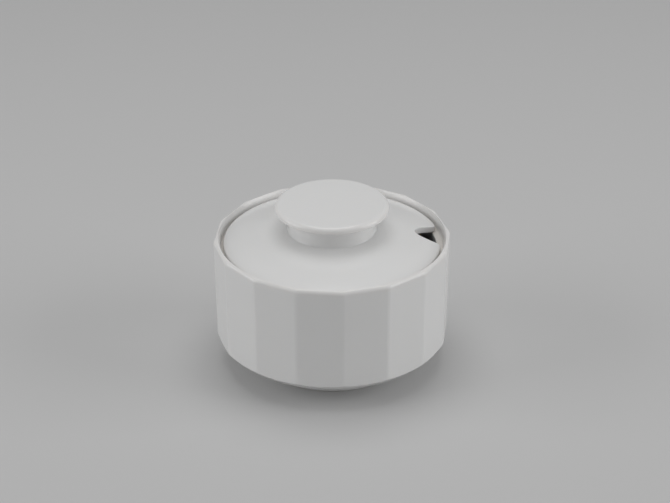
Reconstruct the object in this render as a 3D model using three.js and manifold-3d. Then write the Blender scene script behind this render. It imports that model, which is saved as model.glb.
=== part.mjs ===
// Lidded sugar bowl in white porcelain: a sixteen-sided bowl with a round inside and a round foot ring,
// a shallow lid that drops into a gallery inside the rim, and a hollow disc knob luted to the lid.
// Millimetres, +Z up. The origin is on the axis, level with the face that the foot ring stands on.
// A corner of the bowl and the spoon notch in the lid both point along +X.

import * as THREE from "three";
import { mergeVertices } from "three/addons/utils/BufferGeometryUtils.js";
import Module from "manifold-3d";

// Bowl, outside
const FACETS = 16;
const BOWL_WIDTH = 106; // across opposite corners, at the rim
const BOWL_HEIGHT = 61;
const FACET_DRAFT = 1; // degrees that each facet leans in towards the foot
const FACET_BASE = 13.9; // height of the facets' lower corners
const RIM_ROLL_WIDTH = 1; // rounded outer edge of the rim
const RIM_ROLL_HEIGHT = 2.2;
const RIM_WIDTH = 1.68; // at the middle of a facet
const LIP_ROUNDING = 0.3; // inner edge of the rim
const UNDERSIDE_BOW = 1.4; // belly of the round underside, from foot to facets

// Foot ring
const FOOT_WIDTH = 64; // outside diameter
const FOOT_FACE = 3.2; // width of the face that it stands on
const FOOT_HEIGHT = 3; // outside the ring
const FOOT_RECESS = 2.2; // inside the ring
const FOOT_ROUNDING = 0.6;

// Bowl, inside
const WALL = 3.4; // behind the middle of a facet
const FLOOR = 3.6;
const INSIDE_CORNER = 7; // rounding between floor and wall
const GALLERY_DEPTH = 5.2; // from the rim down to the ledge that carries the lid
const GALLERY_LEDGE = 3.6; // width of that ledge
const GALLERY_THICKNESS = 3;

// Lid
const LID_CLEARANCE = 0.8; // all round, inside the rim
const SEAT_GAP = 0.3; // between lid and ledge
const LID_EDGE = 2.5; // height of the lid's outer edge
const LID_EDGE_ROUNDING = 0.6;
const LID_RISE = 6.1; // from the outer edge up to the pad that the knob stands on
const LID_BOW = 0.5; // belly of the lid, from pad to edge
const LID_THICKNESS = 3.2;
const LID_SEAT = 3.5; // width of the flat ring that rests on the ledge

// Spoon notch in the lid's edge
const NOTCH_WIDTH = 17; // at its mouth
const NOTCH_DEPTH = 11.9;
const NOTCH_CORNER = 2; // rounding at its mouth

// Knob
const KNOB_WIDTH = 50.8;
const KNOB_HEIGHT = 12.5; // from the pad to the disc's upper edge
const KNOB_CROWN = 0.4; // rise of the disc's top towards its middle
const KNOB_EDGE = 3; // thickness of the disc's edge
const KNOB_UPPER_ROUNDING = 2.2;
const NECK_WIDTH = 38.6; // at its narrowest
const NECK_BASE = 40.4; // where it spreads onto the lid
const NECK_SPREAD = 3; // height of that spread
const KNOB_WALL = 3.4;
const KNOB_HOLLOW_ROUNDING = 3;

// Facets of the round surfaces, and steps along a curve of their profiles
const ROUND_SEGMENTS = 64;
const CURVE_STEPS = 6;
const ROUNDING_STEPS = 3;
const CUT_MARGIN = 4; // how far a cutting shape runs past what it cuts

const wasm = await Module();
wasm.setup();

const point = (r, z) => new THREE.Vector2(r, z);

const glaze = () => new THREE.MeshStandardMaterial({ color: 0xe9e9e6, roughness: 0.18, metalness: 0 });

// Turns a closed geometry into a solid that can be cut and joined.
function toSolid(geometry) {
  const bare = geometry.clone();
  bare.deleteAttribute("normal");
  bare.deleteAttribute("uv");
  const merged = mergeVertices(bare.index ? bare.toNonIndexed() : bare);
  const corners = merged.index.array;
  const triangles = [];
  for (let i = 0; i < corners.length; i += 3) {
    const [a, b, c] = corners.slice(i, i + 3);
    if (a !== b && b !== c && c !== a) triangles.push(a, b, c);
  }
  const vertProperties = new Float32Array(merged.attributes.position.array);
  const triVerts = new Uint32Array(triangles);
  return new wasm.Manifold(new wasm.Mesh({ numProp: 3, vertProperties, triVerts }));
}

function toMesh(name, solid) {
  const { vertProperties, triVerts } = solid.getMesh();
  const geometry = new THREE.BufferGeometry();
  geometry.setAttribute("position", new THREE.BufferAttribute(vertProperties, 3));
  geometry.setIndex(new THREE.BufferAttribute(triVerts, 1));
  geometry.computeVertexNormals();
  const mesh = new THREE.Mesh(geometry, glaze());
  mesh.name = name;
  return mesh;
}

// Revolves a profile of (radius, height) points about +Z, with its first corner on -Y.
function turned(profile, segments) {
  return toSolid(new THREE.LatheGeometry(profile, segments).rotateX(Math.PI / 2));
}

// A curve between two points that bellies out to the right of the straight line by a given amount.
function bowed(from, to, belly) {
  const along = to.clone().sub(from).normalize();
  const toTheRight = point(along.y, -along.x);
  const middle = from.clone().lerp(to, 0.5);
  return new THREE.QuadraticBezierCurve(from, middle.addScaledVector(toTheRight, 2 * belly), to);
}

// Points on a rounding about a centre, from one angle to another, in degrees.
function rounding(r, z, width, height, fromAngle, toAngle) {
  const [start, end] = [fromAngle, toAngle].map(THREE.MathUtils.degToRad);
  return new THREE.EllipseCurve(r, z, width, height, start, end, end < start).getPoints(ROUNDING_STEPS);
}

// Sizes that several pieces share
const leanIn = Math.tan(THREE.MathUtils.degToRad(FACET_DRAFT));
const cornerRadius = (z) => BOWL_WIDTH / 2 - (BOWL_HEIGHT - z) * leanIn;
const flatRadius = (z) => cornerRadius(z) * Math.cos(Math.PI / FACETS);
const footRadius = FOOT_WIDTH / 2;
const openingRadius = flatRadius(BOWL_HEIGHT) - RIM_WIDTH;
const galleryRadius = openingRadius - GALLERY_LEDGE;
const ledgeZ = BOWL_HEIGHT - GALLERY_DEPTH;
const lidRadius = openingRadius - LID_CLEARANCE;
const seatZ = ledgeZ + SEAT_GAP;
const edgeZ = seatZ + LID_EDGE;
const padZ = edgeZ + LID_RISE;
const padRadius = NECK_BASE / 2;
const hollowRadius = NECK_WIDTH / 2 - KNOB_WALL;

const footInside = footRadius - FOOT_FACE - 2 * FOOT_ROUNDING;
const footTop = point(footRadius, FOOT_HEIGHT);
const lowerCorner = point(cornerRadius(FACET_BASE), FACET_BASE);
const underside = bowed(footTop, lowerCorner, UNDERSIDE_BOW);

// The sixteen flat facets with their rounded top edge, as one solid prism.
function facetedBody() {
  const shoulder = BOWL_HEIGHT - RIM_ROLL_HEIGHT;
  const rollRadius = cornerRadius(shoulder) - RIM_ROLL_WIDTH;
  return turned([
    point(0, 0),
    point(cornerRadius(0), 0),
    ...rounding(rollRadius, shoulder, RIM_ROLL_WIDTH, RIM_ROLL_HEIGHT, 0, 90),
    point(0, BOWL_HEIGHT),
  ], FACETS);
}

// Everything inside the foot ring and the round underside, which cuts the facets' lower edge in scallops.
function roundUnderside() {
  const round = FOOT_ROUNDING;
  const past = lowerCorner.clone().addScaledVector(underside.getTangent(1), CUT_MARGIN);
  return turned([
    point(0, FOOT_RECESS),
    point(footInside, FOOT_RECESS),
    ...rounding(footInside + round, round, round, round, 180, 270),
    ...rounding(footRadius - round, round, round, round, -90, 0),
    ...underside.getPoints(CURVE_STEPS),
    past,
    point(past.x, BOWL_HEIGHT + CUT_MARGIN),
    point(0, BOWL_HEIGHT + CUT_MARGIN),
  ], ROUND_SEGMENTS);
}

// The space inside the bowl: a floor that follows the underside, the wall, the gallery and the opening.
function bowlSpace() {
  const wallRadius = (z) => flatRadius(z) - WALL;
  const floorZ = FOOT_RECESS + FLOOR;
  const lipRadius = openingRadius + LIP_ROUNDING;
  const parallel = underside.getPoints(CURVE_STEPS).map((outer, i) => {
    const along = underside.getTangent(i / CURVE_STEPS);
    return point(outer.x - FLOOR * along.y, outer.y + FLOOR * along.x);
  });
  const rising = parallel.filter((inner) => inner.x < wallRadius(inner.y) - INSIDE_CORNER);
  const bend = rising.at(-1);
  const wallStart = bend.y + 2 * INSIDE_CORNER;
  const corner = new THREE.QuadraticBezierCurve(
    bend, point(wallRadius(bend.y), bend.y + INSIDE_CORNER / 2), point(wallRadius(wallStart), wallStart));
  const galleryBase = ledgeZ - GALLERY_THICKNESS;
  const undercut = wallRadius(galleryBase) - galleryRadius;
  return turned([
    point(0, floorZ),
    point(footInside, floorZ),
    ...rising.slice(0, -1),
    ...corner.getPoints(CURVE_STEPS),
    point(wallRadius(galleryBase - undercut), galleryBase - undercut),
    point(galleryRadius, galleryBase),
    point(galleryRadius, ledgeZ),
    point(openingRadius, ledgeZ),
    ...rounding(lipRadius, BOWL_HEIGHT - LIP_ROUNDING, LIP_ROUNDING, LIP_ROUNDING, 180, 90),
    point(lipRadius, BOWL_HEIGHT + CUT_MARGIN),
    point(0, BOWL_HEIGHT + CUT_MARGIN),
  ], ROUND_SEGMENTS);
}

const bowl = () => facetedBody().intersect(roundUnderside()).subtract(bowlSpace());

// The lid's shell, with the hole through which the hollow of the knob opens downwards.
function lidShell() {
  const underPad = padZ - LID_THICKNESS;
  const seatStart = point(lidRadius - LID_SEAT, seatZ);
  const edgeRadius = lidRadius - LID_EDGE_ROUNDING;
  const edge = rounding(edgeRadius, edgeZ - LID_EDGE_ROUNDING, LID_EDGE_ROUNDING, LID_EDGE_ROUNDING, 0, 90);
  const top = bowed(edge.at(-1), point(padRadius, padZ), LID_BOW);
  const below = bowed(seatStart, point(padRadius, underPad), LID_BOW);
  return turned([
    point(hollowRadius, underPad),
    ...below.getPoints(CURVE_STEPS).reverse(),
    point(lidRadius, seatZ),
    ...edge.slice(0, -1),
    ...top.getPoints(CURVE_STEPS),
    point(hollowRadius, padZ),
    point(hollowRadius, underPad),
  ], ROUND_SEGMENTS);
}

// A cut into the lid's edge on +X. Its sides close in along a parabola, and its mouth has rounded corners.
function spoonNotch() {
  const half = NOTCH_WIDTH / 2;
  const tip = lidRadius - NOTCH_DEPTH;
  const mouth = point(Math.sqrt(lidRadius ** 2 - half ** 2), half);
  const share = 1 - NOTCH_CORNER / (2 * (mouth.x - tip));
  const side = point(tip + (mouth.x - tip) * share ** 2, half * share);
  const rim = mouth.clone().rotateAround(point(0, 0), NOTCH_CORNER / lidRadius);
  const outline = new THREE.Shape();
  outline.moveTo(lidRadius + CUT_MARGIN, rim.y);
  outline.lineTo(rim.x, rim.y);
  outline.quadraticCurveTo(mouth.x, mouth.y, side.x, side.y);
  outline.quadraticCurveTo(2 * tip - side.x, 0, side.x, -side.y);
  outline.quadraticCurveTo(mouth.x, -mouth.y, rim.x, -rim.y);
  outline.lineTo(lidRadius + CUT_MARGIN, -rim.y);
  const depth = padZ - seatZ + 2 * CUT_MARGIN;
  const slot = new THREE.ExtrudeGeometry(outline, { depth, bevelEnabled: false, curveSegments: 12 });
  return toSolid(slot.translate(0, 0, seatZ - CUT_MARGIN));
}

const lid = () => lidShell().subtract(spoonNotch());

// A disc on a waisted neck, cast hollow and open below.
function knob() {
  const discZ = padZ + KNOB_HEIGHT;
  const discRadius = KNOB_WIDTH / 2;
  const neckRadius = NECK_WIDTH / 2;
  const waist = point(neckRadius, padZ + NECK_SPREAD);
  const lowerRounding = KNOB_EDGE - KNOB_UPPER_ROUNDING;
  const under = point(discRadius - lowerRounding, discZ - KNOB_EDGE);
  const spread = new THREE.QuadraticBezierCurve(point(padRadius, padZ), point(neckRadius, padZ), waist);
  const cove = new THREE.QuadraticBezierCurve(waist, point(neckRadius, under.y), under);
  const widest = discZ - KNOB_UPPER_ROUNDING;
  const shoulder = discRadius - KNOB_UPPER_ROUNDING;
  const hollowZ = discZ - KNOB_WALL;
  const round = KNOB_HOLLOW_ROUNDING;
  const crown = bowed(point(shoulder, discZ), point(0, discZ + KNOB_CROWN), KNOB_CROWN / 4);
  return turned([
    point(0, hollowZ),
    ...rounding(hollowRadius - round, hollowZ - round, round, round, 90, 0),
    point(hollowRadius, padZ),
    ...spread.getPoints(ROUNDING_STEPS),
    ...cove.getPoints(CURVE_STEPS).slice(1),
    ...rounding(under.x, widest, lowerRounding, lowerRounding, -90, 0).slice(1),
    ...rounding(shoulder, widest, KNOB_UPPER_ROUNDING, KNOB_UPPER_ROUNDING, 0, 90).slice(1),
    ...crown.getPoints(ROUNDING_STEPS).slice(1),
  ], ROUND_SEGMENTS);
}

const sugarBowl = new THREE.Group();
sugarBowl.name = "sugar_bowl";
const cover = new THREE.Group();
cover.add(toMesh("lid", lid()), toMesh("lid_knob", knob()));
sugarBowl.add(toMesh("bowl", bowl()), cover);

export default sugarBowl;
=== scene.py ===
"""Sugar bowl with lid in white glazed porcelain, and the studio it stands in.

The bowl is turned on its axis, cut into flat facets by planes and softened along its edges. The lid is
turned, notched for a spoon and softened, and its knob is turned. Everything is in metres, +Z up.
"""

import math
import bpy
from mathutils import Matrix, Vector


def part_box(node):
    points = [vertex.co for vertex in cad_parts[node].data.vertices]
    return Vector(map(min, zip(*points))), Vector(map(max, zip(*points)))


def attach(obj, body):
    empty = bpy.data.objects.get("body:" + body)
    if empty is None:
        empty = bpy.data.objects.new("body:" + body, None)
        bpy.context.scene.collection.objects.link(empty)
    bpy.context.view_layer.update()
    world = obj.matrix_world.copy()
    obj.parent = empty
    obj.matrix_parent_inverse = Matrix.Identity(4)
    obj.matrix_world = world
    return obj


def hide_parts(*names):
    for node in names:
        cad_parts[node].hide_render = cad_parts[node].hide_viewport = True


bl_info = {
    "name": "Porcelain Sugar Bowl",
    "version": (1, 0, 0),
    "blender": (4, 5, 0),
    "location": "View3D > Sidebar > Sugar Bowl",
    "description": "Models a faceted sugar bowl with its lid and knob, and lights it in a plain studio",
    "category": "Add Mesh",
}

import bmesh
import bpy
from bpy.props import FloatProperty, FloatVectorProperty, IntProperty, PointerProperty
from mathutils import Matrix, Vector
from mathutils.kdtree import KDTree

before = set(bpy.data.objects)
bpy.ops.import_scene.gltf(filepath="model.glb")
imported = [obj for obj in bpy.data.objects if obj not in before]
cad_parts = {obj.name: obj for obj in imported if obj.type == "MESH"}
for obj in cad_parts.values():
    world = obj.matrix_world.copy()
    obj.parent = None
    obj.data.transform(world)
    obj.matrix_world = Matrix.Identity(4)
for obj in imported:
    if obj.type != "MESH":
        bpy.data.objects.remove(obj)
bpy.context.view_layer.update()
bowl_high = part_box("bowl")[1]
lid_low, lid_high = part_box("lid")
knob_low, knob_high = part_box("lid_knob")

MM = 0.001
ROUND_STEPS = 192  # turned steps, a multiple of the facets
CURVE_STEPS = 16  # steps along a long curve of a profile
ROUNDING_STEPS = 6  # steps along a small rounding
MERGE_DISTANCE = 1e-6
SAME_PLACE = 1e-5  # how near counts as level or touching
SEED_SIZE = 0.01  # the plane that a profile is drawn from
SMOOTH_ANGLE = math.radians(35)  # sharper edges stay sharp
SHARP_ANGLE = math.radians(40)  # sharper edges of the lid are rounded
UNDERSIDE_SLOPE = -0.5  # the underside's faces look down more than this
FACET_SLOPE = -0.2  # the facets look down less than this
LIP_BEND = 0.3  # how near the lip's curve keeps to its corner, from 0 to 0.5


def length(name, description, default):
    """A length that a user can change."""
    return FloatProperty(name=name, description=description, default=default, min=0.0,
                         precision=5, subtype="DISTANCE", unit="LENGTH")


def angle(name, description, degrees):
    """An angle that a user can change."""
    return FloatProperty(name=name, description=description, default=math.radians(degrees),
                         subtype="ANGLE", unit="ROTATION")


def share(name, description, default):
    """A number from 0 to 1 that a user can change."""
    return FloatProperty(name=name, description=description, default=default, min=0.0, max=1.0,
                         subtype="FACTOR")


def power(name, description, default):
    """A lamp's power that a user can change."""
    return FloatProperty(name=name, description=description, default=default, min=0.0,
                         unit="POWER")


def colour(name, description, red, green, blue):
    """A colour that a user can change."""
    return FloatVectorProperty(name=name, description=description, default=(red, green, blue, 1.0),
                               min=0.0, max=1.0, size=4, subtype="COLOR")


class BowlSizes(bpy.types.PropertyGroup):
    """Sizes of the bowl."""

    height: length("Height", "From the foot ring's face to the rim", bowl_high.z)
    corner_radius: length("Corner radius", "From the axis to a facet's edge, at the rim", 53.0 * MM)
    facets: IntProperty(name="Facets", description="Flat sides round the bowl", default=16, min=6, max=48)
    draft: angle("Draft", "How far each facet leans in towards the foot", 1.0)
    facet_base: length("Facet base", "Height of the facets' lower corners", 13.9 * MM)
    facet_edge: length("Facet edge", "How far a rounded edge reaches onto each facet", 1.0 * MM)
    lower_edge: length("Lower edge", "Rounding where the facets meet the underside", 0.5 * MM)
    rim_roll: length("Rim roll", "Radius of the rim's rounded outer edge", 1.9 * MM)
    rim_slope: angle("Rim slope", "Slope of the rim where that rounding ends", 25.0)
    lip_width: length("Lip width", "How far the rim's inner edge leans out", 1.05 * MM)
    lip_height: length("Lip height", "Height of that leaning edge", 2.5 * MM)
    underside_bow: length("Underside bow", "Belly of the round underside", 1.4 * MM)
    foot_radius: length("Foot radius", "Outside radius of the foot ring", 33.5 * MM)
    foot_face: length("Foot face", "Width of the face that the foot ring stands on", 3.2 * MM)
    foot_height: length("Foot height", "Height of the foot ring outside", 3.0 * MM)
    foot_recess: length("Foot recess", "Depth inside the foot ring", 2.2 * MM)
    foot_edge: length("Foot edge", "Rounding of the foot ring's edges", 0.6 * MM)
    foot_fillet: length("Foot fillet", "Glaze gathered round the foot ring", 0.7 * MM)
    wall: length("Wall", "Thickness behind the middle of a facet", 3.4 * MM)
    floor: length("Floor", "Thickness of the floor", 3.6 * MM)
    inside_corner: length("Inside corner", "Rounding between floor and wall", 7.0 * MM)
    rim_width: length("Rim width", "Width of the rim at the middle of a facet", 2.2 * MM)
    ledge_depth: length("Ledge depth", "From the rim down to the ledge that carries the lid", 5.2 * MM)
    ledge_width: length("Ledge width", "Width of the ledge", 3.1 * MM)
    ledge_thickness: length("Ledge thickness", "Thickness of the ledge", 3.0 * MM)
    ledge_edge: length("Ledge edge", "Rounding of the ledge's edge and root", 0.5 * MM)


class LidSizes(bpy.types.PropertyGroup):
    """Sizes of the lid."""

    radius: length("Radius", "Outside radius of the lid", lid_high.x)
    seat_height: length("Seat height", "Height of the ring that rests on the ledge", lid_low.z)
    pad_height: length("Pad height", "Height of the pad that the knob stands on", lid_high.z)
    pad_radius: length("Pad radius", "Radius of that pad", 20.2 * MM)
    hole_radius: length("Hole radius", "Radius of the hole below the knob", 15.9 * MM)
    edge_height: length("Edge height", "Height of the lid's outer edge", 2.5 * MM)
    edge_rounding: length("Edge rounding", "Rounding of the outer edge and the notch", 0.5 * MM)
    bow: length("Bow", "Belly of the lid from pad to edge", 0.5 * MM)
    thickness: length("Thickness", "Thickness of the shell", 3.2 * MM)
    seat_width: length("Seat width", "Width of the ring that rests on the ledge", 3.5 * MM)
    notch_width: length("Notch width", "Width of the spoon notch at its mouth", 17.0 * MM)
    notch_depth: length("Notch depth", "Depth of the spoon notch from the edge", 11.3 * MM)
    notch_corner: length("Notch corner", "Rounding at the mouth of the notch", 2.0 * MM)


class KnobSizes(bpy.types.PropertyGroup):
    """Sizes of the knob."""

    radius: length("Radius", "Outside radius of the disc", knob_high.x)
    base_height: length("Base height", "Height of the pad that the knob stands on", knob_low.z)
    top_height: length("Top height", "Height of the crown's middle", knob_high.z)
    crown: length("Crown", "Rise of the disc's top towards its middle", 0.4 * MM)
    edge: length("Edge", "Thickness of the disc's edge", 3.0 * MM)
    upper_rounding: length("Upper rounding", "Rounding of the disc's upper edge", 2.2 * MM)
    neck_radius: length("Neck radius", "Radius of the neck at its narrowest", 19.3 * MM)
    neck_base: length("Neck base", "Radius where the neck spreads onto the lid", 20.2 * MM)
    neck_spread: length("Neck spread", "Height of that spread", 3.0 * MM)
    wall: length("Wall", "Thickness of the cast wall", 3.4 * MM)
    hollow_rounding: length("Hollow rounding", "Rounding at the top of the hollow", 3.0 * MM)


class GlazeLooks(bpy.types.PropertyGroup):
    """Colours and gloss of the porcelain."""

    glaze: colour("Glaze", "White body seen through the glaze", 0.875, 0.875, 0.871)
    pooled: colour("Pooled glaze", "Where the glaze lies a little thicker", 0.852, 0.852, 0.847)
    thin: colour("Thin glaze", "Where the glaze draws thin over an edge", 0.89, 0.879, 0.868)
    bare: colour("Bare body", "Unglazed body where pieces rest", 0.78, 0.75, 0.71)
    gloss_low: share("Lowest roughness", "Roughness where the glaze is glossiest", 0.13)
    gloss_high: share("Highest roughness", "Roughness where the glaze is least glossy", 0.21)
    bare_roughness: share("Bare roughness", "Roughness of the unglazed body", 0.62)
    subsurface: share("Translucency", "Share of light that passes through the body", 0.15)
    subsurface_depth: length("Depth of light", "How far light gets into the body", 1.5 * MM)
    refraction: FloatProperty(name="Refraction", description="Index of refraction of the glaze",
                              default=1.5, min=1.0, max=3.0)
    pool_size: length("Pool size", "Size of the patches of thicker glaze", 30.0 * MM)
    wave_size: length("Wave size", "Size of the slow waves in the fired surface", 18.0 * MM)
    waviness: share("Waviness", "Strength of those waves", 0.08)
    peel_size: length("Peel size", "Size of the fine dimples in the glaze", 1.1 * MM)
    peel: share("Orange peel", "Strength of those dimples", 0.02)
    bare_reach: length("Bare reach", "How far bare body shows past the face that rests", 0.2 * MM)


class StudioLooks(bpy.types.PropertyGroup):
    """Floor, light and camera."""

    floor: colour("Floor", "Pale paper that the bowl stands on", 0.64, 0.64, 0.64)
    floor_roughness: share("Floor roughness", "How matt the paper is", 0.9)
    floor_sheen: share("Floor sheen", "How much the paper mirrors", 0.2)
    ambient: colour("Ambient", "Light from all round", 0.28, 0.28, 0.28)
    top_power: power("Top light", "Softbox over the bowl", 2.12)
    left_power: power("Left light", "Softbox to the left", 5.35)
    right_power: power("Right light", "Softbox to the right", 6.1)
    side_softbox: length("Side softboxes", "Side of the square softboxes left and right", 0.9)
    top_softbox: length("Top softbox", "Side of the square softbox over the bowl", 0.6)
    floor_radius: length("Floor radius", "Flat floor before it sweeps up", 2.4)
    sweep: length("Sweep", "Rounding and height of the swept-up surround", 1.2)


class SugarBowlSettings(bpy.types.PropertyGroup):
    """Everything that the sidebar panel shows."""

    bowl: PointerProperty(type=BowlSizes)
    lid: PointerProperty(type=LidSizes)
    knob: PointerProperty(type=KnobSizes)
    glaze: PointerProperty(type=GlazeLooks)
    studio: PointerProperty(type=StudioLooks)


# Outlines

def rounding(r, z, width, height, start, end, steps=ROUNDING_STEPS):
    """Points on a rounding about (r, z), from one angle to another in degrees."""
    turns = [math.radians(start + (end - start) * i / steps) for i in range(steps + 1)]
    return [(r + width * math.cos(t), z + height * math.sin(t)) for t in turns]


def curve(start, control, end, steps=CURVE_STEPS):
    """Points on a quadratic curve."""
    points = []
    for i in range(steps + 1):
        t = i / steps
        weights = ((1 - t) ** 2, 2 * t * (1 - t), t ** 2)
        points.append(tuple(sum(w * p[k] for w, p in zip(weights, (start, control, end))) for k in (0, 1)))
    return points


def bow_control(start, end, belly):
    """Control point of a curve that bellies out to the right of the line from start to end."""
    start, end = Vector(start), Vector(end)
    along = (end - start).normalized()
    return tuple((start + end) / 2 + 2 * belly * Vector((along.y, -along.x)))


def bowed(start, end, belly, steps=CURVE_STEPS):
    """Points on such a curve."""
    return curve(start, bow_control(start, end, belly), end, steps)


def corner_radius(sizes, z):
    """Radius to the facets' edges at a height."""
    return sizes.corner_radius - (sizes.height - z) * math.tan(sizes.draft)


def flat_radius(sizes, z):
    """Radius to the middle of a facet at a height."""
    return corner_radius(sizes, z) * math.cos(math.pi / sizes.facets)


def opening_radius(sizes):
    """Radius inside the rim."""
    return flat_radius(sizes, sizes.height) - sizes.rim_width


# Modelling steps

def deselect_all():
    """Leaves object mode with nothing selected."""
    if bpy.context.mode != "OBJECT":
        bpy.ops.object.mode_set(mode="OBJECT")
    bpy.ops.object.select_all(action="DESELECT")


def draw_chain(name, points):
    """Draws a chain of vertices by extruding one vertex through points, and stays in edit mode."""
    deselect_all()
    bpy.ops.mesh.primitive_plane_add(size=SEED_SIZE)
    piece = bpy.context.object
    piece.name = name
    piece.data.name = name
    bpy.ops.object.mode_set(mode="EDIT")
    bpy.ops.mesh.select_mode(type="VERT")
    bpy.ops.mesh.select_all(action="SELECT")
    bpy.ops.mesh.merge(type="CENTER")
    corners = [Vector(p) for p in points]
    bpy.ops.transform.translate(value=corners[0])
    for here, there in zip(corners, corners[1:]):
        bpy.ops.mesh.extrude_region_move(TRANSFORM_OT_translate={"value": there - here})
    return piece


def turn(name, profile):
    """Turns a profile of (radius, height) points about the axis, and stays in edit mode."""
    piece = draw_chain(name, [(r, 0.0, z) for r, z in profile])
    bpy.ops.mesh.select_all(action="SELECT")
    bpy.ops.mesh.spin(steps=ROUND_STEPS, angle=2 * math.pi, center=(0, 0, 0), axis=(0, 0, 1))
    clean_up()
    return piece


def clean_up():
    """Merges doubles and turns the faces outwards."""
    bpy.ops.mesh.select_all(action="SELECT")
    bpy.ops.mesh.remove_doubles(threshold=MERGE_DISTANCE)
    bpy.ops.mesh.normals_make_consistent(inside=False)


def select_where(piece, kind, wanted):
    """Selects the verts, edges or faces of a piece in edit mode for which wanted is true."""
    bpy.ops.mesh.select_mode(type=kind)
    bpy.ops.mesh.select_all(action="DESELECT")
    mesh = bmesh.from_edit_mesh(piece.data)
    elements = {"VERT": mesh.verts, "EDGE": mesh.edges, "FACE": mesh.faces}[kind]
    picked = [element for element in elements if wanted(element)]
    if not picked:
        raise RuntimeError(f"{piece.name}: nothing to select")
    for element in picked:
        element.select_set(True)
    mesh.select_flush_mode()
    bmesh.update_edit_mesh(piece.data)


def round_edges(piece, wanted, width, segments=ROUNDING_STEPS):
    """Bevels the edges for which wanted is true into a rounding."""
    select_where(piece, "EDGE", wanted)
    bpy.ops.mesh.bevel(offset=width, segments=segments, affect="EDGES", clamp_overlap=False)


def radius_of(point):
    """Distance of a point from the axis."""
    return math.hypot(point.x, point.y)


def middle(edge):
    """Middle of an edge."""
    return (edge.verts[0].co + edge.verts[1].co) / 2


def finish_piece(piece, material, body, node):
    """Smooths a piece, checks that it is closed, gives it its glaze and puts it on its body."""
    clean_up()
    mesh = bmesh.from_edit_mesh(piece.data)
    open_edges = sum(len(edge.link_faces) != 2 for edge in mesh.edges)
    bpy.ops.object.mode_set(mode="OBJECT")
    if open_edges:
        raise RuntimeError(f"{piece.name} has {open_edges} open edges")
    bpy.ops.object.shade_smooth_by_angle(angle=SMOOTH_ANGLE)
    even = piece.modifiers.new("Even facets", "WEIGHTED_NORMAL")
    even.keep_sharp = True
    bpy.ops.object.modifier_apply(modifier=even.name)
    piece.data.materials.clear()
    piece.data.materials.append(material)
    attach(piece, body)
    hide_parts(node)


# Bowl

def bowl_profile(sizes):
    """Half section of the turned bowl, from under the floor round the outside to the inside."""
    edge = sizes.foot_edge
    foot_inside = sizes.foot_radius - sizes.foot_face - 2 * edge
    foot_top = (sizes.foot_radius, sizes.foot_height)
    lower_corner = (corner_radius(sizes, sizes.facet_base), sizes.facet_base)
    control = bow_control(foot_top, lower_corner, sizes.underside_bow)
    underside = curve(foot_top, control, lower_corner)
    rise = (Vector(lower_corner) - Vector(control)).normalized()
    waste = Vector(lower_corner) + rise * sizes.wall
    return [
        (0.0, sizes.foot_recess),
        (foot_inside, sizes.foot_recess),
        *rounding(foot_inside + edge, edge, edge, edge, 180, 270),
        *rounding(sizes.foot_radius - edge, edge, edge, edge, -90, 0),
        *underside,
        tuple(waste),
        (waste.x, sizes.height),
        *bowl_inside(sizes, foot_inside, underside),
    ]


def bowl_inside(sizes, foot_inside, underside):
    """The inside from the rim down past the ledge to the middle of the floor."""
    ledge_z = sizes.height - sizes.ledge_depth
    ledge_base = ledge_z - sizes.ledge_thickness
    opening = opening_radius(sizes)
    ledge_radius = opening - sizes.ledge_width
    floor_z = sizes.foot_recess + sizes.floor
    edge = sizes.ledge_edge

    def wall_radius(z):
        return flat_radius(sizes, z) - sizes.wall

    rising = []
    for outer, after in zip(underside, underside[1:]):
        along = (Vector(after) - Vector(outer)).normalized()
        inner = (outer[0] - sizes.floor * along.y, outer[1] + sizes.floor * along.x)
        if inner[0] < wall_radius(inner[1]) - sizes.inside_corner:
            rising.append(inner)
    bend_r, bend_z = rising[-1]
    wall_z = bend_z + 2 * sizes.inside_corner
    corner = curve((bend_r, bend_z), (wall_radius(bend_z), bend_z + sizes.inside_corner / 2),
                   (wall_radius(wall_z), wall_z))
    undercut = wall_radius(ledge_base) - ledge_radius
    lip_control = (opening + LIP_BEND * sizes.lip_width, sizes.height - LIP_BEND * sizes.lip_height)
    return [
        *curve((opening + sizes.lip_width, sizes.height), lip_control,
               (opening, sizes.height - sizes.lip_height), ROUNDING_STEPS),
        *rounding(opening - edge, ledge_z + edge, edge, edge, 0, -90),
        *rounding(ledge_radius + edge, ledge_z - edge, edge, edge, 90, 180),
        (ledge_radius, ledge_base),
        (wall_radius(ledge_base - undercut), ledge_base - undercut),
        *reversed(corner),
        *reversed(rising[:-1]),
        (foot_inside, floor_z),
        (0.0, floor_z),
    ]


def cut_facets(sizes):
    """Slices the turned outside flat, facet by facet."""
    lean = math.tan(sizes.draft) * math.cos(math.pi / sizes.facets)
    for i in range(sizes.facets):
        around = (i + 0.5) * 2 * math.pi / sizes.facets
        out = Vector((math.cos(around), math.sin(around), 0.0))
        on_facet = out * flat_radius(sizes, sizes.height) + Vector((0, 0, sizes.height))
        bpy.ops.mesh.select_all(action="SELECT")
        bpy.ops.mesh.bisect(plane_co=on_facet, plane_no=out - Vector((0, 0, lean)), use_fill=True,
                            clear_outer=True, threshold=MERGE_DISTANCE)
    clean_up()


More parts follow.
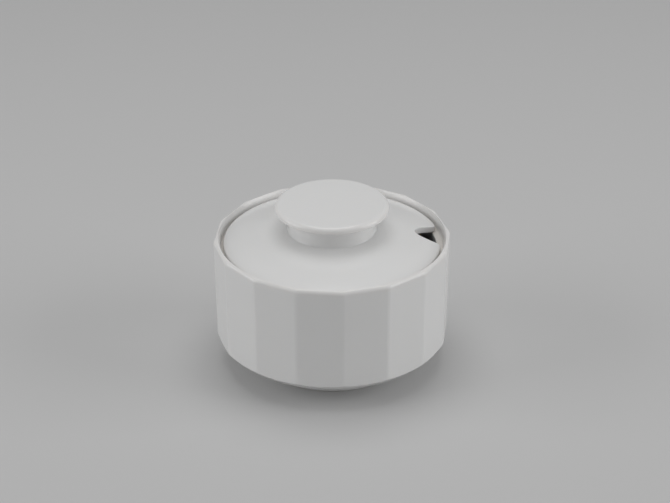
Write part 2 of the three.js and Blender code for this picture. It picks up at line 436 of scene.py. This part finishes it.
def roll_rim(bowl, sizes):
    """Draws the rim's outer edge up from the facets in a roll, and closes it to the lip."""
    roll_height = sizes.rim_roll * math.cos(sizes.rim_slope)
    shoulder = sizes.height - roll_height
    rim_flat = opening_radius(sizes) + sizes.lip_width
    select_where(bowl, "FACE", lambda f: all(v.co.z > sizes.height - SAME_PLACE for v in f.verts))
    bpy.ops.mesh.delete(type="FACE")
    select_where(bowl, "EDGE", lambda e: e.is_boundary and radius_of(middle(e)) > rim_flat + SAME_PLACE)
    bpy.ops.transform.translate(value=(0, 0, -roll_height))
    step = corner_radius(sizes, shoulder) / corner_radius(sizes, sizes.height)
    bpy.ops.transform.resize(value=(step, step, 1), center_override=(0, 0, 0))
    roll = rounding(flat_radius(sizes, shoulder) - sizes.rim_roll, shoulder,
                    sizes.rim_roll, sizes.rim_roll, 0, 90 - math.degrees(sizes.rim_slope))
    for (r, z), (next_r, next_z) in zip(roll, roll[1:]):
        bpy.ops.mesh.extrude_region_move(TRANSFORM_OT_translate={"value": (0, 0, next_z - z)})
        bpy.ops.transform.resize(value=(next_r / r, next_r / r, 1), center_override=(0, 0, 0))
    select_where(bowl, "EDGE", lambda e: e.is_boundary)
    bpy.ops.mesh.bridge_edge_loops()


def soften_bowl(bowl, sizes):
    """Rounds the facets' edges, the rim, the facets' lower ends and the foot ring's root."""
    tall = (sizes.height - sizes.facet_base) / 2
    outside = opening_radius(sizes)
    round_edges(bowl, lambda e: abs(e.verts[0].co.z - e.verts[1].co.z) > tall
                and radius_of(middle(e)) > outside, sizes.facet_edge)
    roll_rim(bowl, sizes)

    def on_lower_edge(edge):
        slopes = sorted(f.normal.z for f in edge.link_faces)
        meets_facet = slopes[0] < UNDERSIDE_SLOPE and slopes[-1] > FACET_SLOPE
        return meets_facet and radius_of(middle(edge)) > outside

    round_edges(bowl, on_lower_edge, sizes.lower_edge)

    def on_foot_root(edge):
        level = all(abs(v.co.z - sizes.foot_height) < SAME_PLACE for v in edge.verts)
        return level and radius_of(middle(edge)) > sizes.foot_radius - sizes.foot_face

    round_edges(bowl, on_foot_root, sizes.foot_fillet)


def bowl_glaze(sizes, looks):
    """Glaze that is thin over the rim, and bare on the foot ring's face and on the ledge."""
    ledge_z = sizes.height - sizes.ledge_depth
    opening = opening_radius(sizes)
    reach = looks.bare_reach

    def thin(tree, height, radius):
        return fade(tree, height, sizes.height - 2 * sizes.rim_roll, sizes.height)

    def bare(tree, height, radius):
        foot = fade(tree, height, 2 * reach, reach)
        off_level = combine(tree, "ABSOLUTE", combine(tree, "SUBTRACT", height, ledge_z), 0.0)
        on_level = fade(tree, off_level, reach, reach / 2)
        ledge = combine(tree, "MULTIPLY", on_level, fade(tree, radius, opening, opening - reach))
        return combine(tree, "MAXIMUM", foot, ledge)

    return porcelain("bowl_glaze", looks, thin, bare)


class SUGARBOWL_OT_bowl(bpy.types.Operator):
    """Turns the bowl, cuts its facets and softens its edges"""

    bl_idname = "sugar_bowl.bowl"
    bl_label = "Bowl"

    def execute(self, context):
        settings = context.scene.sugar_bowl
        sizes = settings.bowl
        bowl = turn("bowl_porcelain", bowl_profile(sizes))
        cut_facets(sizes)
        soften_bowl(bowl, sizes)
        finish_piece(bowl, bowl_glaze(sizes, settings.glaze), "bowl", "bowl")
        return {"FINISHED"}


# Lid

def lid_profile(sizes):
    """Section of the lid's shell, a closed ring round the hole below the knob."""
    under_pad = sizes.pad_height - sizes.thickness
    edge_z = sizes.seat_height + sizes.edge_height
    seat_start = (sizes.radius - sizes.seat_width, sizes.seat_height)
    return [
        (sizes.hole_radius, under_pad),
        *reversed(bowed(seat_start, (sizes.pad_radius, under_pad), sizes.bow)),
        (sizes.radius, sizes.seat_height),
        *bowed((sizes.radius, edge_z), (sizes.pad_radius, sizes.pad_height), sizes.bow),
        (sizes.hole_radius, sizes.pad_height),
        (sizes.hole_radius, under_pad),
    ]


def notch_outline(sizes):
    """Outline of the spoon notch on +X: sides that close in along a parabola, and a rounded mouth."""
    half, tip = sizes.notch_width / 2, sizes.radius - sizes.notch_depth
    mouth = Vector((math.sqrt(sizes.radius ** 2 - half ** 2), half))
    share_of_side = 1 - sizes.notch_corner / (2 * (mouth.x - tip))
    side = Vector((tip + (mouth.x - tip) * share_of_side ** 2, half * share_of_side))
    rim = Matrix.Rotation(sizes.notch_corner / sizes.radius, 2) @ mouth
    past = sizes.radius + sizes.notch_corner
    upper = [(past, rim.y), *curve(rim, mouth, side, ROUNDING_STEPS)]
    lower = [(x, -y) for x, y in reversed(upper)]
    sides = curve(side, (2 * tip - side.x, 0.0), (side.x, -side.y), 2 * CURVE_STEPS)
    return [*upper, *sides[1:-1], *lower]


def make_room(piece, wanted, reach):
    """Dissolves what lies beside the edges for which wanted is true, so that they can be rounded."""
    mesh = bmesh.from_edit_mesh(piece.data)
    kept = {v.index for edge in mesh.edges if wanted(edge) for v in edge.verts}
    near = KDTree(len(kept))
    mesh.verts.ensure_lookup_table()
    for index in kept:
        near.insert(mesh.verts[index].co, index)
    near.balance()
    select_where(piece, "VERT", lambda v: v.index not in kept and near.find(v.co)[2] < reach)
    bpy.ops.mesh.dissolve_verts()


def cut_notch(lid, sizes):
    """Cuts the spoon notch right through the lid, and rounds its edges with the lid's own."""
    bpy.ops.object.mode_set(mode="OBJECT")
    margin = sizes.thickness
    depth = sizes.pad_height - sizes.seat_height + 2 * margin
    below = sizes.seat_height - margin
    cutter = draw_chain("spoon_notch", [(x, y, below) for x, y in notch_outline(sizes)])
    bpy.ops.mesh.select_all(action="SELECT")
    bpy.ops.mesh.edge_face_add()
    bpy.ops.mesh.extrude_region_move(TRANSFORM_OT_translate={"value": (0, 0, depth)})
    clean_up()
    deselect_all()
    lid.select_set(True)
    bpy.context.view_layer.objects.active = lid
    cut = lid.modifiers.new("Spoon notch", "BOOLEAN")
    cut.operation = "DIFFERENCE"
    cut.solver = "EXACT"
    cut.object = cutter
    bpy.ops.object.modifier_apply(modifier=cut.name)
    bpy.data.objects.remove(cutter)
    bpy.ops.object.mode_set(mode="EDIT")

    beyond = sizes.radius - sizes.notch_depth - sizes.edge_rounding

    def on_outer_edge(edge):
        return radius_of(middle(edge)) > beyond and edge.calc_face_angle() > SHARP_ANGLE

    make_room(lid, on_outer_edge, 1.5 * sizes.edge_rounding)
    round_edges(lid, on_outer_edge, sizes.edge_rounding)


def lid_glaze(sizes, looks):
    """Glaze that is thin over the outer edge, and bare on the ring that rests on the ledge."""
    seat = sizes.seat_height

    def thin(tree, height, radius):
        start = sizes.radius - 3 * sizes.edge_rounding
        return fade(tree, radius, start, sizes.radius - sizes.edge_rounding / 2)

    def bare(tree, height, radius):
        return fade(tree, height, seat + 2 * looks.bare_reach, seat + looks.bare_reach)

    return porcelain("lid_glaze", looks, thin, bare)


class SUGARBOWL_OT_lid(bpy.types.Operator):
    """Turns the lid and cuts its spoon notch"""

    bl_idname = "sugar_bowl.lid"
    bl_label = "Lid"

    def execute(self, context):
        settings = context.scene.sugar_bowl
        lid = turn("lid_porcelain", lid_profile(settings.lid))
        cut_notch(lid, settings.lid)
        finish_piece(lid, lid_glaze(settings.lid, settings.glaze), "lid", "lid")
        return {"FINISHED"}


# Knob

def knob_profile(sizes):
    """Half section of the knob, from the top of its hollow round its neck and disc to its crown."""
    disc_z = sizes.top_height - sizes.crown
    waist = (sizes.neck_radius, sizes.base_height + sizes.neck_spread)
    lower = sizes.edge - sizes.upper_rounding
    under = (sizes.radius - lower, disc_z - sizes.edge)
    widest = disc_z - sizes.upper_rounding
    shoulder = sizes.radius - sizes.upper_rounding
    hollow_radius = sizes.neck_radius - sizes.wall
    hollow_z = disc_z - sizes.wall
    hollow = sizes.hollow_rounding
    return [
        (0.0, hollow_z),
        *rounding(hollow_radius - hollow, hollow_z - hollow, hollow, hollow, 90, 0),
        (hollow_radius, sizes.base_height),
        *curve((sizes.neck_base, sizes.base_height), (sizes.neck_radius, sizes.base_height), waist),
        *curve(waist, (sizes.neck_radius, under[1]), under)[1:],
        *rounding(under[0], widest, lower, lower, -90, 0)[1:],
        *rounding(shoulder, widest, sizes.upper_rounding, sizes.upper_rounding, 0, 90)[1:],
        *bowed((shoulder, disc_z), (0.0, sizes.top_height), sizes.crown / 4)[1:],
    ]


def knob_glaze(sizes, looks):
    """Glaze that is thin over the edge of the disc."""
    def thin(tree, height, radius):
        return fade(tree, radius, sizes.radius - sizes.upper_rounding, sizes.radius)

    return porcelain("knob_glaze", looks, thin)


class SUGARBOWL_OT_knob(bpy.types.Operator):
    """Turns the hollow knob that stands on the lid"""

    bl_idname = "sugar_bowl.knob"
    bl_label = "Knob"

    def execute(self, context):
        settings = context.scene.sugar_bowl
        knob = turn("knob_porcelain", knob_profile(settings.knob))
        finish_piece(knob, knob_glaze(settings.knob, settings.glaze), "lid", "lid_knob")
        return {"FINISHED"}


# Materials

WARM_BODY = (1.0, 0.95, 0.9)  # red light gets a little further into the body than blue


def new_material(name):
    """A material with nodes, and its shader."""
    material = bpy.data.materials.new(name)
    material.use_nodes = True
    return material, material.node_tree, material.node_tree.nodes["Principled BSDF"]


def feed(tree, socket, value):
    """Sets a socket to a constant, or links another node's output to it."""
    if isinstance(value, bpy.types.NodeSocket):
        tree.links.new(value, socket)
    else:
        socket.default_value = value


def noise(tree, coordinates, size, detail):
    """Noise on a piece's own coordinates, with features of a size in metres."""
    node = tree.nodes.new("ShaderNodeTexNoise")
    node.inputs["Scale"].default_value = 1 / size
    node.inputs["Detail"].default_value = detail
    tree.links.new(coordinates, node.inputs["Vector"])
    return node.outputs["Fac"]


def fade(tree, value, start, end):
    """Rises smoothly from 0 at one value to 1 at another."""
    node = tree.nodes.new("ShaderNodeMapRange")
    node.interpolation_type = "SMOOTHSTEP"
    tree.links.new(value, node.inputs["Value"])
    node.inputs["From Min"].default_value = start
    node.inputs["From Max"].default_value = end
    return node.outputs["Result"]


def combine(tree, operation, first, second):
    """Adds, multiplies or compares two values."""
    node = tree.nodes.new("ShaderNodeMath")
    node.operation = operation
    feed(tree, node.inputs[0], first)
    feed(tree, node.inputs[1], second)
    return node.outputs["Value"]


def blend(tree, kind, factor, first, second):
    """Blends two colours or two numbers by a factor."""
    node = tree.nodes.new("ShaderNodeMix")
    node.data_type = kind
    feed(tree, next(i for i in node.inputs if i.enabled and i.name == "Factor"), factor)
    feed(tree, next(i for i in node.inputs if i.enabled and i.name == "A"), first)
    feed(tree, next(i for i in node.inputs if i.enabled and i.name == "B"), second)
    return next(i for i in node.outputs if i.enabled)


def bump(tree, height, strength, normal=None):
    """Raises the surface by a height, on top of another bump."""
    node = tree.nodes.new("ShaderNodeBump")
    node.inputs["Strength"].default_value = strength
    node.inputs["Distance"].default_value = 1.0 * MM
    tree.links.new(height, node.inputs["Height"])
    if normal:
        tree.links.new(normal, node.inputs["Normal"])
    return node.outputs["Normal"]


def heights_and_radii(tree, place):
    """Height above the floor and distance from the axis, at every point of a piece."""
    parts = tree.nodes.new("ShaderNodeSeparateXYZ")
    tree.links.new(place, parts.inputs["Vector"])
    across = combine(tree, "POWER", parts.outputs["X"], 2.0)
    along = combine(tree, "POWER", parts.outputs["Y"], 2.0)
    return parts.outputs["Z"], combine(tree, "SQRT", combine(tree, "ADD", across, along), 0.0)


def porcelain(name, looks, thin_mask, bare_mask=None):
    """White porcelain under a clear glaze, thin over an edge and bare where the piece rests."""
    material, tree, shader = new_material(name)
    place = tree.nodes.new("ShaderNodeTexCoord").outputs["Object"]
    height, radius = heights_and_radii(tree, place)
    pools = noise(tree, place, looks.pool_size, 2.0)
    tone = blend(tree, "RGBA", pools, looks.glaze, looks.pooled)
    tone = blend(tree, "RGBA", thin_mask(tree, height, radius), tone, looks.thin)
    gloss = blend(tree, "FLOAT", pools, looks.gloss_low, looks.gloss_high)
    if bare_mask:
        bare = bare_mask(tree, height, radius)
        tone = blend(tree, "RGBA", bare, tone, looks.bare)
        gloss = blend(tree, "FLOAT", bare, gloss, looks.bare_roughness)
    tree.links.new(tone, shader.inputs["Base Color"])
    tree.links.new(gloss, shader.inputs["Roughness"])
    shader.inputs["IOR"].default_value = looks.refraction
    shader.inputs["Subsurface Weight"].default_value = looks.subsurface
    shader.inputs["Subsurface Radius"].default_value = WARM_BODY
    shader.inputs["Subsurface Scale"].default_value = looks.subsurface_depth
    waves = bump(tree, noise(tree, place, looks.wave_size, 1.0), looks.waviness)
    peel = bump(tree, noise(tree, place, looks.peel_size, 1.0), looks.peel, waves)
    tree.links.new(peel, shader.inputs["Normal"])
    return material


def paper(name, looks):
    """Pale matt studio paper."""
    material, _, shader = new_material(name)
    shader.inputs["Base Color"].default_value = looks.floor
    shader.inputs["Roughness"].default_value = looks.floor_roughness
    shader.inputs["Specular IOR Level"].default_value = looks.floor_sheen
    return material


# Studio

# Lens, distance and turn of the view, and where its middle falls beside the bowl's axis
PICTURE_WIDTH = 670  # pixels
FOCAL_PIXELS = 2442.7
VIEW_ELEVATION = math.radians(28.1)
VIEW_TURN = math.radians(-5.14)
VIEW_ROLL = math.radians(0.175)
VIEW_DISTANCE = 1.1
VIEW_AIM_HEIGHT = 0.035
VIEW_OFFSET_RIGHT = 1.273 * MM
VIEW_OFFSET_UP = 15.752 * MM

# Where the softboxes stand, and the point that they face
TOP_PLACE = (0, 0.1, 0.9)
LEFT_PLACE = (-1.31, -0.11, 0.52)
RIGHT_PLACE = (1.27, -0.345, 0.52)
LIT_POINT = (0, 0, 0.04)


def add_camera():
    """Sets up the camera at the view's angle."""
    ahead = Vector((-math.sin(VIEW_TURN) * math.cos(VIEW_ELEVATION),
                    math.cos(VIEW_TURN) * math.cos(VIEW_ELEVATION), -math.sin(VIEW_ELEVATION)))
    right = Vector((math.cos(VIEW_TURN), math.sin(VIEW_TURN), 0.0))
    up = right.cross(ahead)
    bpy.ops.object.camera_add()
    camera = bpy.context.object
    camera.name = "camera"
    camera.data.sensor_width = 36.0
    camera.data.lens = camera.data.sensor_width * FOCAL_PIXELS / PICTURE_WIDTH
    aim = Vector((0, 0, VIEW_AIM_HEIGHT)) + right * VIEW_OFFSET_RIGHT + up * VIEW_OFFSET_UP
    across = right * math.cos(VIEW_ROLL) - up * math.sin(VIEW_ROLL)
    above = right * math.sin(VIEW_ROLL) + up * math.cos(VIEW_ROLL)
    turned = Matrix((across, above, -ahead)).transposed().to_4x4()
    camera.matrix_world = Matrix.Translation(aim - ahead * VIEW_DISTANCE) @ turned
    bpy.context.scene.camera = camera


def add_softbox(name, place, side, watts):
    """A square lamp that faces the bowl and stays out of the picture."""
    bpy.ops.object.light_add(type="AREA", location=place)
    lamp = bpy.context.object
    lamp.name = name
    lamp.data.shape = "SQUARE"
    lamp.data.size = side
    lamp.data.energy = watts
    lamp.rotation_mode = "QUATERNION"
    lamp.rotation_quaternion = (Vector(LIT_POINT) - Vector(place)).to_track_quat("-Z", "Y")
    lamp.visible_camera = False


def add_floor(looks):
    """A pale floor that sweeps up all round, far from the bowl."""
    sweep = looks.sweep
    profile = [(0.0, 0.0), *rounding(looks.floor_radius, sweep, sweep, sweep, -90, 0, CURVE_STEPS)]
    floor = turn("studio_floor", profile)
    bpy.ops.mesh.select_all(action="SELECT")
    bpy.ops.mesh.flip_normals()
    bpy.ops.object.mode_set(mode="OBJECT")
    bpy.ops.object.shade_smooth()
    floor.data.materials.append(paper("studio_paper", looks))


class SUGARBOWL_OT_studio(bpy.types.Operator):
    """Adds the floor, the soft light and the camera"""

    bl_idname = "sugar_bowl.studio"
    bl_label = "Studio"

    def execute(self, context):
        looks = context.scene.sugar_bowl.studio
        add_floor(looks)
        deselect_all()
        add_softbox("top_softbox", TOP_PLACE, looks.top_softbox, looks.top_power)
        add_softbox("left_softbox", LEFT_PLACE, looks.side_softbox, looks.left_power)
        add_softbox("right_softbox", RIGHT_PLACE, looks.side_softbox, looks.right_power)
        world = bpy.data.worlds.new("studio_light")
        world.use_nodes = True
        world.node_tree.nodes["Background"].inputs["Color"].default_value = looks.ambient
        context.scene.world = world
        context.scene.view_settings.view_transform = "Standard"
        add_camera()
        return {"FINISHED"}


class SUGARBOWL_PT_panel(bpy.types.Panel):
    """Sizes, looks and the buttons that make each piece"""

    bl_label = "Sugar Bowl"
    bl_idname = "SUGARBOWL_PT_panel"
    bl_space_type = "VIEW_3D"
    bl_region_type = "UI"
    bl_category = "Sugar Bowl"

    def draw(self, context):
        settings = context.scene.sugar_bowl
        for group, operator in PANEL_ROWS:
            box = self.layout.box()
            values = getattr(settings, group)
            for name in values.bl_rna.properties.keys():
                if name not in {"rna_type", "name"}:
                    box.prop(values, name)
            if operator:
                box.operator(operator)


PANEL_ROWS = (
    ("bowl", "sugar_bowl.bowl"),
    ("lid", "sugar_bowl.lid"),
    ("knob", "sugar_bowl.knob"),
    ("glaze", ""),
    ("studio", "sugar_bowl.studio"),
)

CLASSES = (
    BowlSizes, LidSizes, KnobSizes, GlazeLooks, StudioLooks, SugarBowlSettings,
    SUGARBOWL_OT_bowl, SUGARBOWL_OT_lid, SUGARBOWL_OT_knob, SUGARBOWL_OT_studio, SUGARBOWL_PT_panel,
)


def register():
    """Adds the operators, the panel and their settings to Blender."""
    for cls in CLASSES:
        bpy.utils.register_class(cls)
    bpy.types.Scene.sugar_bowl = PointerProperty(type=SugarBowlSettings)


def unregister():
    """Takes them out of Blender again."""
    del bpy.types.Scene.sugar_bowl
    for cls in reversed(CLASSES):
        bpy.utils.unregister_class(cls)


def main():
    """Makes the studio and every piece."""
    register()
    bpy.ops.sugar_bowl.studio()
    bpy.ops.sugar_bowl.bowl()
    bpy.ops.sugar_bowl.lid()
    bpy.ops.sugar_bowl.knob()


if __name__ == "__main__":
    main()
